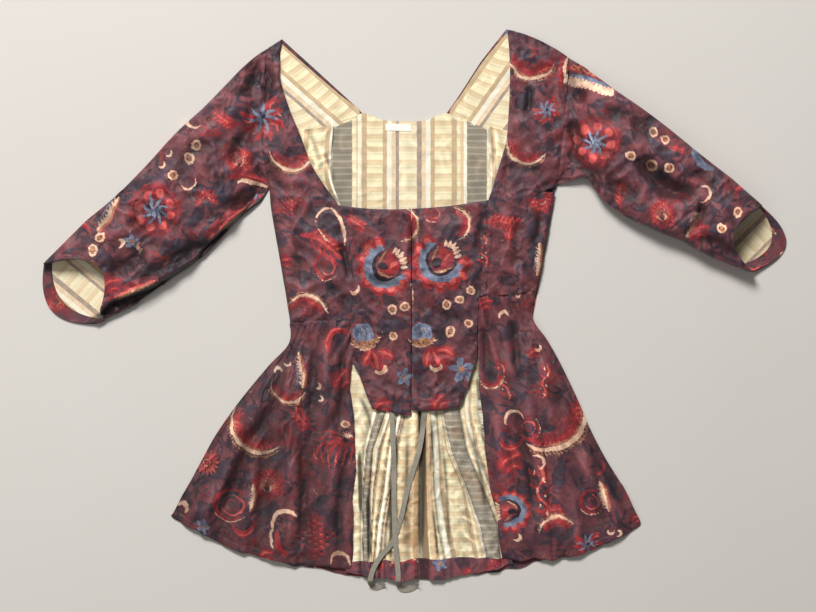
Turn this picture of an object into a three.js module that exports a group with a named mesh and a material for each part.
// A woman's fitted jacket of painted cotton (chintz), lined with striped and checked linen,
// laid flat on its back. Millimetres, +Z up, z = 0 is the surface it lies on, +Y points to the
// neck and +X to the wearer's left. Names end in _r or _l for the wearer's right or left side.
// Each piece that was cut and sewn on is one closed wall of cloth, a little apart at the seams.

import * as THREE from 'three';

// ---------------------------------------------------------------- driving sizes
const CHINTZ = 1.2;          // wall of the painted cotton with its turned edges
const LINEN = 1.0;           // wall of the lining
const LABEL = 0.6;           // wall of the blank tape at the neck
const GAP = 0.3;             // what a piece keeps back from its neighbour at a seam
const STEEPEST = 2;          // a steep wall is at most this many times as high as it is thick

const LINING_Z = CHINTZ + GAP;              // the lining lies on the back
const ON_LINING_Z = LINING_Z + LINEN + GAP; // and what lies on the lining starts here
const FOLD_Z = CHINTZ + 2 * GAP;            // the front's underside at the folded sides
const SKIRT_Z = 6.5;                        // the front skirts' underside over the hidden lining
const CENTRE_X = -3.5;                      // where the two fronts meet

const TAPE = { width: 7, thick: 0.8, clear: 0.5, onFloor: 0.3, steps: 30 };

// ---------------------------------------------------------------- colours
const PAINTED = { color: 0x4e303e, roughness: 0.55, metalness: 0 };
const STRIPED = { color: 0xe8d8ae, roughness: 0.85, metalness: 0 };
const TIE = { color: 0x8f9498, roughness: 0.8, metalness: 0 };
const WHITE = { color: 0xf4f2ec, roughness: 0.8, metalness: 0 };

// ---------------------------------------------------------------- small helpers
const mix = (a, b, t) => a + (b - a) * t;
const clamp01 = (t) => Math.min(1, Math.max(0, t));
const smooth = (t) => clamp01(t) ** 2 * (3 - 2 * clamp01(t));

// A column of a table whose rows go down in y, read at any y.
function column(table, name, y) {
  const below = table.findIndex((row) => row.y <= y);
  if (below === 0) return table[0][name];
  if (below < 0) return table[table.length - 1][name];
  const [high, low] = [table[below - 1], table[below]];
  return mix(high[name], low[name], (high.y - y) / (high.y - low.y));
}

// ---------------------------------------------------------------- the shape it lies in
// The body and skirt between their two side folds, and how high the front stands off the back.
const BODY = [
  { y: 386, right: -205, left: 217, loft: 6 },
  { y: 318, right: -209, left: 214, loft: 8 },
  { y: 256, right: -214, left: 209, loft: 11 },
  { y: 162, right: -203, left: 199, loft: 15 },
  { y: 107, right: -196, left: 190, loft: 18 },
  { y: 27, right: -182, left: 175, loft: 17 },
  { y: -22, right: -174, left: 166, loft: 12 },
  { y: -50, right: -174, left: 187, loft: 10 },
  { y: -117, right: -230, left: 222, loft: 9 },
  { y: -186, right: -280, left: 253, loft: 9 },
  { y: -245, right: -312, left: 287, loft: 0 },
  { y: -299, right: -341, left: 315, loft: 0 },
];

function bodyHeight(x, y) {
  const right = column(BODY, 'right', y);
  const left = column(BODY, 'left', y);
  const side = Math.min(1, Math.abs((2 * x - right - left) / (left - right)));
  return FOLD_Z + column(BODY, 'loft', y) * Math.sqrt(1 - side ** 4);
}

// The large folds that spread from the waist to the hem of the front skirts.
const SKIRT_FOLDS = [
  { from: [-172, -60], to: [-296, -290], wide: 15, high: 8 },
  { from: [-166, -60], to: [-246, -325], wide: 15, high: 6 },
  { from: [-146, -50], to: [-196, -352], wide: 17, high: 7 },
  { from: [-122, -40], to: [-122, -360], wide: 17, high: 5 },
  { from: [104, -40], to: [150, -345], wide: 18, high: 5 },
  { from: [136, -30], to: [186, -345], wide: 15, high: 6 },
  { from: [158, -40], to: [232, -335], wide: 16, high: 7 },
  { from: [172, -45], to: [284, -305], wide: 15, high: 8 },
];

function foldHeight(folds, x, y) {
  let height = 0;
  for (const { from, to, wide, high } of folds) {
    const along = clamp01((from[1] - y) / (from[1] - to[1]));
    const middle = mix(from[0], to[0], along);
    height += high * smooth(along * 4) * Math.exp(-(((x - middle) / wide) ** 2));
  }
  return height;
}

const SIDE_ROUND = 28;   // the skirt curves down to its side edge over this width
const WAIST_FALL = 130;  // and settles from the body's height over this length

function skirtHeight(x, y) {
  const edge = x < CENTRE_X ? column(BODY, 'right', y) : column(BODY, 'left', y);
  const inside = smooth(Math.abs(edge - x) / SIDE_ROUND);
  const lying = mix(FOLD_Z, SKIRT_Z + foldHeight(SKIRT_FOLDS, x, y), inside);
  const waist = x < CENTRE_X ? SKIRT_ROWS_R[0].b[1] : SKIRT_ROWS_L[0].a[1];
  return mix(bodyHeight(x, y), lying, smooth((waist - y) / WAIST_FALL));
}

// The pleats of the back skirt, seen from inside between the open front skirts.
const BACK_PLEATS = [
  { from: [-72, -75], to: [-80, -372], wide: 6, high: 2.5 },
  { from: [-54, -75], to: [-60, -372], wide: 7, high: 4 },
  { from: [-36, -75], to: [-38, -372], wide: 7, high: 4.5 },
  { from: [-18, -75], to: [-17, -372], wide: 7, high: 4 },
  { from: [-1, -75], to: [0, -372], wide: 6, high: 5 },
  { from: [20, -75], to: [20, -372], wide: 7, high: 5 },
  { from: [44, -75], to: [54, -372], wide: 14, high: 4 },
  { from: [72, -75], to: [96, -372], wide: 12, high: 3.5 },
];

const flatOn = (z) => () => z;
const pleatHeight = (x, y) => LINING_Z + foldHeight(BACK_PLEATS, x, y);

// The side linings rise from the seam at the back to the front's neck edge.
const sideLiningHeight = (x) => ON_LINING_Z + 4 * smooth((Math.abs(x - CENTRE_X) - 95) / 70);

// ---------------------------------------------------------------- walls of cloth
function closedMesh(name, look, points, triangles) {
  const geometry = new THREE.BufferGeometry();
  geometry.setAttribute('position', new THREE.Float32BufferAttribute(points.flat(), 3));
  geometry.setIndex(triangles.flat());
  geometry.computeVertexNormals();
  const mesh = new THREE.Mesh(geometry, new THREE.MeshStandardMaterial(look));
  mesh.name = name;
  return mesh;
}

// Moves the two ends of a row of plan points towards each other.
function pulledIn(row, inset) {
  const last = row.length - 1;
  const shift = (end, next) => {
    const step = new THREE.Vector2(next[0] - end[0], next[1] - end[1]).setLength(inset);
    return [end[0] + step.x, end[1] + step.y];
  };
  return [shift(row[0], row[1]), ...row.slice(1, last), shift(row[last], row[last - 1])];
}

const turned = (grid) => grid[0].map((_, i) => grid.map((row) => row[i]));

// Straight or bowed rows of plan points from a to b; bow moves the middle of a row towards +Y.
function planRows(rows, columns) {
  const grid = rows.map(({ a, b, bow = 0 }) => {
    const row = [];
    for (let i = 0; i <= columns; i++) {
      const t = i / columns;
      row.push([mix(a[0], b[0], t), mix(a[1], b[1], t) + bow * 4 * t * (1 - t)]);
    }
    return pulledIn(row, GAP);
  });
  return turned(turned(grid).map((line) => pulledIn(line, GAP)));
}

// Closes the under and upper faces of a wall, given as grids of points, with its four rims.
function wallMesh(name, look, under, over) {
  const high = under.length;
  const wide = under[0].length;
  const top = high * wide;
  const triangles = [];
  const quad = (a, b, c, d) => triangles.push([a, b, c], [a, c, d]);
  for (let j = 0; j + 1 < high; j++) {
    for (let i = 0; i + 1 < wide; i++) {
      const k = j * wide + i;
      quad(k, k + 1, k + wide + 1, k + wide);
      quad(top + k, top + k + wide, top + k + wide + 1, top + k + 1);
    }
  }
  for (let i = 0; i + 1 < wide; i++) {
    const k = (high - 1) * wide + i;
    quad(i, top + i, top + i + 1, i + 1);
    quad(k, k + 1, top + k + 1, top + k);
  }
  for (let j = 0; j + 1 < high; j++) {
    const k = j * wide;
    const m = k + wide - 1;
    quad(k, k + wide, top + k + wide, top + k);
    quad(m, top + m, top + m + wide, m + wide);
  }
  const [a, b, c] = [under[0][0], under[0][wide - 1], under[high - 1][0]];
  const clockwise = (b[0] - a[0]) * (c[1] - a[1]) - (b[1] - a[1]) * (c[0] - a[0]) < 0;
  const outward = clockwise ? triangles : triangles.map(([p, q, r]) => [p, r, q]);
  return closedMesh(name, look, [...under.flat(), ...over.flat()], outward);
}

// A wall of cloth over a plan of rows, its underside at height(x, y).
function panel(name, look, rows, columns, height, wall) {
  const slope = 0.5;
  const grid = planRows(rows, columns);
  const under = grid.map((row) => row.map(([x, y]) => [x, y, height(x, y)]));
  const over = under.map((row) => row.map(([x, y, z]) => {
    const tilt = Math.hypot(
      (height(x + slope, y) - height(x - slope, y)) / (2 * slope),
      (height(x, y + slope) - height(x, y - slope)) / (2 * slope),
    );
    return [x, y, z + wall * Math.min(STEEPEST, Math.hypot(1, tilt))];
  }));
  return wallMesh(name, look, under, over);
}

// ---------------------------------------------------------------- sleeves
// A ring for each station: a and b are its upper and lower edge in plan, high its thickness,
// top and bottom how far its upper and lower cloth reach past the line a-b towards the cuff,
// dent how deep the upper cloth sinks, and boxy how square the ring is.
const SLEEVE_SIDES = 20;
const BOTTOM_FLAT = 0.35;
const FACING_FROM = 0.35;    // the facing starts this far along the last stretch of the cuff
const DENT = { at: 0.58, wide: 0.16 };

const SLEEVE_R = [
  { a: [-204, 360], b: [-203, 162], high: 3.4, top: 10, bottom: 10, dent: 0, boxy: 0.4 },
  { a: [-218, 351], b: [-214, 147], high: 10, top: 8, bottom: 8, dent: 1, boxy: 0.5 },
  { a: [-238, 334], b: [-230, 134], high: 18, top: 5, bottom: 5, dent: 2, boxy: 0.6 },
  { a: [-263, 308], b: [-252, 114], high: 25, top: 2, bottom: 2, dent: 2, boxy: 0.7 },
  { a: [-293, 277], b: [-279, 86], high: 29, top: 0, bottom: 0, dent: 2, boxy: 0.7 },
  { a: [-330, 243], b: [-306, 60], high: 31, top: 0, bottom: 0, dent: 3, boxy: 0.7 },
  { a: [-375, 194], b: [-338, 38], high: 31, top: 0, bottom: 0, dent: 4, boxy: 0.7 },
  { a: [-420, 149], b: [-365, 19], high: 31, top: -4, bottom: 4, dent: 5, boxy: 0.7 },
  { a: [-458, 118], b: [-392, 0], high: 30, top: -14, bottom: 8, dent: 4, boxy: 0.7 },
];
const CUFF_R = [
  SLEEVE_R[SLEEVE_R.length - 1],
  { a: [-482, 94], b: [-412, -11], high: 30, top: -30, bottom: 14, dent: 2, boxy: 0.7 },
  { a: [-502, 74], b: [-430, -19], high: 30, top: -44, bottom: 25, dent: 0, boxy: 0.7 },
  { a: [-519, 57], b: [-444, -27], high: 30, top: -56, bottom: 36, dent: 0, boxy: 0.7 },
];
const SLEEVE_L = [
  { a: [217, 346], b: [200, 167], high: 3.4, top: 2, bottom: 2, dent: 0, boxy: 0.4 },
  { a: [233, 336], b: [216, 172], high: 14, top: 0, bottom: 0, dent: 1, boxy: 0.5 },
  { a: [252, 322], b: [237, 178], high: 25, top: 0, bottom: 0, dent: 3, boxy: 0.6 },
  { a: [283, 299], b: [261, 149], high: 35, top: 0, bottom: 0, dent: 3, boxy: 0.75 },
  { a: [319, 274], b: [292, 125], high: 40, top: 0, bottom: 0, dent: 5, boxy: 0.8 },
  { a: [356, 246], b: [326, 108], high: 42, top: 0, bottom: 0, dent: 9, boxy: 0.8 },
  { a: [400, 210], b: [352, 97], high: 43, top: -3, bottom: 3, dent: 10, boxy: 0.8 },
  { a: [444, 176], b: [376, 88], high: 43, top: -8, bottom: 8, dent: 5, boxy: 0.8 },
];
const CUFF_L = [
  SLEEVE_L[SLEEVE_L.length - 1],
  { a: [462, 160], b: [405, 71], high: 44, top: -16, bottom: 20, dent: 2, boxy: 0.8 },
  { a: [476, 148], b: [440, 56], high: 44, top: -26, bottom: 34, dent: 0, boxy: 0.8 },
  { a: [487, 138], b: [472, 44], high: 44, top: -36, bottom: 43, dent: 0, boxy: 0.8 },
];

// The direction towards the cuff, square to the line a-b.
function ahead({ a, b }) {
  const across = new THREE.Vector2(b[0] - a[0], b[1] - a[1]).normalize();
  const turn = a[0] < CENTRE_X ? -1 : 1;
  return new THREE.Vector2(-turn * across.y, turn * across.x);
}

// A point of the armhole seam, from the shoulder (0) to under the arm (1).
function armhole(sleeve, t) {
  const { a, b, top } = sleeve[0];
  const out = ahead(sleeve[0]).multiplyScalar(top * 4 * t * (1 - t));
  return [mix(a[0], b[0], t) + out.x, mix(a[1], b[1], t) + out.y];
}

// The ring's points; a station with a part lies that far between two others.
function ring(station, inset, shift) {
  if (station.part) {
    const [one, other] = [station.one, station.other].map((end) => ring(end, inset, shift));
    return one.map((point, i) => point.map((value, k) => mix(value, other[i][k], station.part)));
  }
  const { a, b, high, top, bottom, dent, boxy } = station;
  const across = new THREE.Vector2(b[0] - a[0], b[1] - a[1]);
  const width = across.length();
  const out = ahead(station);
  const points = [];
  for (let i = 0; i < SLEEVE_SIDES; i++) {
    const angle = (2 * Math.PI * i) / SLEEVE_SIDES;
    const sine = Math.sin(angle);
    const t = (1 - Math.cos(angle)) / 2;
    const along = mix(inset, width - inset, t) / width;
    const reach = shift + (sine > 0 ? top : bottom) * sine * sine;
    const half = high / 2 - inset;
    const rise = sine > 0 ? sine ** boxy : -(Math.abs(sine) ** BOTTOM_FLAT);
    const sunk = sine > 0 ? dent * Math.exp(-(((t - DENT.at) / DENT.wide) ** 2)) : 0;
    points.push([
      a[0] + across.x * along + out.x * reach,
      a[1] + across.y * along + out.y * reach,
      high / 2 + half * rise - sunk,
    ]);
  }
  return points;
}

// A tube of cloth through stations, its outer face `inset` inside the sleeve's own outer face.
function tube(name, look, stations, inset, wall) {
  const last = stations.length - 1;
  const rings = (depth) => stations.flatMap((station, i) => {
    const shift = i === 0 ? GAP : i === last ? -GAP : 0;
    return ring(station, depth, shift);
  });
  const points = [...rings(inset), ...rings(inset + wall)];
  const inner = points.length / 2;
  const triangles = [];
  const quad = (a, b, c, d) => triangles.push([a, b, c], [a, c, d]);
  for (let i = 0; i < SLEEVE_SIDES; i++) {
    const next = (i + 1) % SLEEVE_SIDES;
    for (let j = 0; j < last; j++) {
      const here = j * SLEEVE_SIDES;
      const there = here + SLEEVE_SIDES;
      quad(here + i, there + i, there + next, here + next);
      quad(inner + here + i, inner + here + next, inner + there + next, inner + there + i);
    }
    const end = last * SLEEVE_SIDES;
    quad(i, next, inner + next, inner + i);
    quad(end + i, inner + end + i, inner + end + next, end + next);
  }
  const right = stations[0].a[0] < CENTRE_X;
  const outward = right ? triangles : triangles.map(([p, q, r]) => [p, r, q]);
  return closedMesh(name, look, points, outward);
}

// ---------------------------------------------------------------- plan of each piece
// Rows run from the neck towards the hem, from a on the wearer's right to b on the left.
const [holeR, holeL] = [SLEEVE_R, SLEEVE_L].map((sleeve) => (t) => armhole(sleeve, t));

const SIDE_FRONT_R = [
  { a: holeR(0), b: [-185, 372] },
  { a: holeR(0.21), b: [-188, 320] },
  { a: holeR(0.42), b: [-176, 278] },
  { a: holeR(0.63), b: [-158, 234] },
  { a: holeR(0.83), b: [-144, 197] },
  { a: holeR(1), b: [-125, 166] },
  { a: [-201, 138], b: [-106, 139] },
  { a: [-196, 107], b: [-94, 105] },
  { a: [-189, 70], b: [-90, 70] },
  { a: [-182, 27], b: [-86, 25] },
  { a: [-176, 0], b: [-86, 0] },
  { a: [-174, -24], b: [-88, -22] },
];
const SIDE_FRONT_L = [
  { a: [131, 384], b: holeL(0), bow: 6 },
  { a: [134, 342], b: holeL(0.14) },
  { a: [134, 300], b: holeL(0.32) },
  { a: [132, 262], b: holeL(0.52) },
  { a: [129, 229], b: holeL(0.7) },
  { a: [121, 200], b: holeL(0.85) },
  { a: [113, 175], b: holeL(1) },
  { a: [109, 160], b: [180, 158] },
  { a: [104, 146], b: [164, 143] },
  { a: [100, 111], b: [157, 111] },
  { a: [98, 76], b: [152, 80] },
  { a: [94, 45], b: [148, 48] },
  { a: [91, 12], b: [146, 15] },
];
const SIDE_BACK_L = [
  { a: [180, 158], b: [197, 157] },
  { a: [164, 143], b: [195, 143] },
  { a: [157, 111], b: [190, 111] },
  { a: [152, 80], b: [184, 80] },
  { a: [148, 48], b: [178, 48] },
  { a: [146, 15], b: [172, 19] },
];
const CENTRE_FRONT_R = [
  { a: [-106, 139], b: [CENTRE_X, 134], bow: -3 },
  { a: [-94, 105], b: [CENTRE_X, 104] },
  { a: [-90, 70], b: [CENTRE_X, 70] },
  { a: [-86, 25], b: [CENTRE_X, 25] },
  { a: [-86, 0], b: [CENTRE_X, 0] },
  { a: [-88, -22], b: [CENTRE_X, -22] },
  { a: [-88, -50], b: [CENTRE_X, -50] },
  { a: [-88, -75], b: [CENTRE_X, -76] },
  { a: [-76, -100], b: [CENTRE_X, -100] },
  { a: [-68, -123], b: [CENTRE_X, -125] },
  { a: [-58, -146], b: [CENTRE_X, -156] },
];
const CENTRE_FRONT_L = [
  { a: [CENTRE_X, 134], b: [104, 146], bow: -2 },
  { a: [CENTRE_X, 104], b: [100, 111] },
  { a: [CENTRE_X, 70], b: [98, 76] },
  { a: [CENTRE_X, 40], b: [94, 45] },
  { a: [CENTRE_X, 8], b: [91, 12] },
  { a: [CENTRE_X, -20], b: [89, -20] },
  { a: [CENTRE_X, -50], b: [88, -50] },
  { a: [CENTRE_X, -76], b: [88, -72] },
  { a: [CENTRE_X, -100], b: [79, -100] },
  { a: [CENTRE_X, -125], b: [73, -123] },
  { a: [CENTRE_X, -150], b: [66, -143], bow: -2 },
];
// The skirts: side is the outer fold, gore the seam down the skirt, front the open edge.
const SKIRT_ROWS_R = [
  { a: [-174, -24], gore: [-150, -23], b: [-88, -22] },
  { a: [-174, -50], gore: [-154, -50], b: [-88, -50] },
  { a: [-204, -86], gore: [-155, -86], b: [-89, -86] },
  { a: [-230, -117], gore: [-156, -120], b: [-90, -120] },
  { a: [-257, -152], gore: [-157, -157], b: [-86, -157] },
  { a: [-280, -186], gore: [-157, -193], b: [-83, -193] },
  { a: [-297, -217], gore: [-157, -230], b: [-82, -230] },
  { a: [-312, -245], gore: [-157, -265], b: [-86, -265] },
  { a: [-327, -272], gore: [-158, -300], b: [-85, -300] },
  { a: [-337, -291], gore: [-159, -333], b: [-84, -335] },
  { a: [-341, -299], gore: [-161, -367], b: [-85, -370], bow: -10 },
];
const SKIRT_ROWS_L = [
  { a: [91, 12], gore: [146, 15], b: [172, 19] },
  { a: [89, -20], gore: [152, -18], b: [166, -17] },
  { a: [88, -50], gore: [158, -50], b: [187, -50] },
  { a: [88, -72], gore: [163, -74], b: [201, -74] },
  { a: [90, -100], gore: [168, -100], b: [214, -100] },
  { a: [92, -134], gore: [173, -134], b: [230, -134] },
  { a: [97, -176], gore: [179, -176], b: [248, -176] },
  { a: [101, -218], gore: [185, -218], b: [270, -218] },
  { a: [106, -257], gore: [188, -257], b: [294, -257] },
  { a: [115, -288], gore: [190, -290], b: [310, -289] },
  { a: [120, -325], gore: [193, -325], b: [317, -303] },
  { a: [125, -357], gore: [195, -358], b: [317, -311], bow: -8 },
];
const toGore = (rows, bow = 0) => rows.map(({ a, gore, bow: hem }) => ({ a, b: gore, bow: hem ? bow : 0 }));
const fromGore = (rows, bow = 0) => rows.map(({ gore, b, bow: hem }) => ({ a: gore, b, bow: hem ? bow : 0 }));

const BACK_R = [
  { a: holeR(0), b: [-185, 372] },
  { a: holeR(0.21), b: [-132, 324] },
  { a: holeR(0.42), b: [-84, 280] },
  { a: holeR(0.53), b: [-70, 269] },
  { a: holeR(0.63), b: [-12, 256] },
  { a: holeR(0.83), b: [-9, 196] },
  { a: holeR(1), b: [-7, 160] },
  { a: [-196, 107], b: [-4, 107] },
  { a: [-182, 27], b: [0, 27] },
  { a: [-174, -24], b: [3, -22] },
];
const BACK_L = [
  { a: [129.5, 386.4], b: holeL(0), bow: 6 },
  { a: [94, 341], b: holeL(0.2) },
  { a: [65, 297], b: holeL(0.42) },
  { a: [46, 270], b: holeL(0.55) },
  { a: [-12, 256], b: holeL(0.68) },
  { a: [-9, 196], b: holeL(0.88) },
  { a: [-7, 160], b: [198, 160] },
  { a: [-4, 107], b: [190, 111] },
  { a: [0, 27], b: [175, 27] },
  { a: [3, -22], b: [166, -20] },
];
const BACK_SKIRT = [
  { a: [-173, -25], b: [165, -21] },
  { a: [-172, -50], b: [184, -50] },
  { a: [-202, -88], b: [206, -88] },
  { a: [-241, -136], b: [229, -136] },
  { a: [-270, -174], b: [246, -176] },
  { a: [-296, -219], b: [268, -219] },
  { a: [-317, -258], b: [292, -258] },
  { a: [-335, -291], b: [308, -290] },
  { a: [-338, -297], b: [315, -308], bow: -83 },
];
// The back lining's strips run down from the neck edge, so its rows stand upright.
const BACK_LINING = [
  { a: [-115, 244], b: [-115, 97] },
  { a: [-94, 256], b: [-94, 97] },
  { a: [-73, 268], b: [-73, 97] },
  { a: [-44, 260], b: [-44, 97] },
  { a: [-15, 254], b: [-15, 97] },
  { a: [15, 256], b: [15, 97] },
  { a: [46, 268], b: [46, 97] },
  { a: [76, 256], b: [76, 97] },
  { a: [105, 243], b: [105, 97] },
];
const STRAP_LINING_R = [
  { a: [-201, 356], b: [-186, 366] },
  { a: [-201, 314], b: [-134, 320] },
  { a: [-193, 286], b: [-105, 295] },
  { a: [-181, 260], b: [-76, 269] },
  { a: [-168, 240], b: [-116, 246] },
];
const STRAP_LINING_L = [
  { a: [129, 380], b: [142, 378] },
  { a: [97, 341], b: [150, 338] },
  { a: [68, 297], b: [150, 292] },
  { a: [50, 269], b: [148, 262] },
  { a: [106, 244], b: [142, 238] },
];
const SIDE_LINING_R = [
  { a: [-168, 238], b: [-116, 244] },
  { a: [-156, 205], b: [-116, 210] },
  { a: [-142, 175], b: [-115, 178] },
  { a: [-122, 148], b: [-104, 142] },
  { a: [-112, 125], b: [-94, 120] },
];
const SIDE_LINING_L = [
  { a: [106, 242], b: [142, 236] },
  { a: [106, 208], b: [136, 205] },
  { a: [106, 176], b: [128, 173] },
  { a: [103, 148], b: [119, 145] },
  { a: [98, 122], b: [114, 120] },
];
const SKIRT_LINING = [
  { a: [-100, -68], b: [104, -68] },
  { a: [-100, -110], b: [106, -110] },
  { a: [-99, -160], b: [111, -160] },
  { a: [-98, -210], b: [116, -210] },
  { a: [-98, -260], b: [122, -260] },
  { a: [-97, -310], b: [131, -310] },
  { a: [-96, -360], b: [138, -355], bow: -6 },
];
const HEM_FACING = [
  SKIRT_LINING[SKIRT_LINING.length - 1],
  { a: [-96, -374], b: [138, -364], bow: -17.7 },
];
const NECK_LABEL = [
  { a: [-40, 254], b: [-4, 253] },
  { a: [-40, 244], b: [-4, 243] },
];

// ---------------------------------------------------------------- tie tapes
// The two free ends of the waist tie, in plan; where on is true they lie on the lining.
const TAPE_R = [
  [-31, -128], [-31, -150], [-30, -182], [-28, -223], [-28, -268], [-27, -312],
  [-25, -348], [-23, -366], [-22, -380], [-22, -392], [-18, -399], [-10, -400], [-1, -397],
  [5, -391],
];
const TAPE_L = [
  [19, -128], [15, -148], [12, -176], [7, -205], [-2, -234], [-10, -262], [-19, -301],
  [-33, -337], [-46, -352], [-55, -366], [-60, -380], [-61, -391], [-56, -397], [-48, -396],
  [-42, -391],
];
const HEM_DROP = { from: -387, to: -396 }; // a tape comes down off the hem between these

function tape(name, route) {
  const half = TAPE.thick / 2;
  const curve = new THREE.CatmullRomCurve3(route.map(([x, y]) => {
    const under = [-1, 0, 1].map((s) => pleatHeight(x + s * TAPE.width / 2, Math.max(y, HEM_DROP.from)));
    const on = Math.max(...under) + STEEPEST * LINEN + TAPE.clear + half;
    const down = smooth((HEM_DROP.from - y) / (HEM_DROP.from - HEM_DROP.to));
    return new THREE.Vector3(x, y, mix(on, TAPE.onFloor + half, down));
  }));
  const middle = curve.getSpacedPoints(TAPE.steps);
  const grid = (lift) => middle.map(({ x, y, z }, i) => {
    const way = curve.getTangentAt(i / TAPE.steps);
    const side = new THREE.Vector2(-way.y, way.x).setLength(TAPE.width / 2);
    return [-1, 0, 1].map((s) => [x + s * side.x, y + s * side.y, z + lift]);
  });
  return wallMesh(name, TIE, grid(-half), grid(half));
}

// ---------------------------------------------------------------- the jacket
const jacket = new THREE.Group();

jacket.add(
  panel('back_r', PAINTED, BACK_R, 5, flatOn(0), CHINTZ),
  panel('back_l', PAINTED, BACK_L, 5, flatOn(0), CHINTZ),
  panel('back_skirt', PAINTED, BACK_SKIRT, 14, flatOn(0), CHINTZ),
);

jacket.add(
  panel('back_lining', STRIPED, BACK_LINING, 2, flatOn(LINING_Z), LINEN),
  panel('strap_lining_r', STRIPED, STRAP_LINING_R, 3, flatOn(LINING_Z), LINEN),
  panel('strap_lining_l', STRIPED, STRAP_LINING_L, 3, flatOn(LINING_Z), LINEN),
  panel('side_lining_r', STRIPED, SIDE_LINING_R, 3, sideLiningHeight, LINEN),
  panel('side_lining_l', STRIPED, SIDE_LINING_L, 3, sideLiningHeight, LINEN),
  panel('back_skirt_lining', STRIPED, SKIRT_LINING, 26, pleatHeight, LINEN),
  panel('hem_facing', PAINTED, HEM_FACING, 26, pleatHeight, LINEN),
  panel('neck_label', WHITE, NECK_LABEL, 1, flatOn(ON_LINING_Z), LABEL),
);

jacket.add(
  panel('side_front_r', PAINTED, SIDE_FRONT_R, 7, bodyHeight, CHINTZ),
  panel('side_front_l', PAINTED, SIDE_FRONT_L, 7, bodyHeight, CHINTZ),
  panel('side_back_l', PAINTED, SIDE_BACK_L, 5, bodyHeight, CHINTZ),
  panel('centre_front_r', PAINTED, CENTRE_FRONT_R, 5, bodyHeight, CHINTZ),
  panel('centre_front_l', PAINTED, CENTRE_FRONT_L, 5, bodyHeight, CHINTZ),
  panel('side_skirt_r', PAINTED, toGore(SKIRT_ROWS_R, -10), 12, skirtHeight, CHINTZ),
  panel('front_skirt_r', PAINTED, fromGore(SKIRT_ROWS_R), 7, skirtHeight, CHINTZ),
  panel('front_skirt_l', PAINTED, toGore(SKIRT_ROWS_L), 7, skirtHeight, CHINTZ),
  panel('side_skirt_l', PAINTED, fromGore(SKIRT_ROWS_L, -8), 10, skirtHeight, CHINTZ),
);

for (const [side, sleeve, cuff] of [['r', SLEEVE_R, CUFF_R], ['l', SLEEVE_L, CUFF_L]]) {
  const mouth = cuff.length - 1;
  const edge = { a: cuff[mouth].a, one: cuff[mouth - 1], other: cuff[mouth], part: FACING_FROM };
  const inside = CHINTZ + 2 * GAP;
  jacket.add(
    tube(`sleeve_${side}`, PAINTED, sleeve, 0, CHINTZ),
    tube(`cuff_${side}`, PAINTED, cuff, 0, CHINTZ),
    tube(`cuff_lining_${side}`, STRIPED, [...cuff.slice(0, mouth), edge], inside, LINEN),
    tube(`cuff_facing_${side}`, PAINTED, [edge, cuff[mouth]], inside, LINEN),
  );
}

jacket.add(tape('tape_r', TAPE_R), tape('tape_l', TAPE_L));

export default jacket;
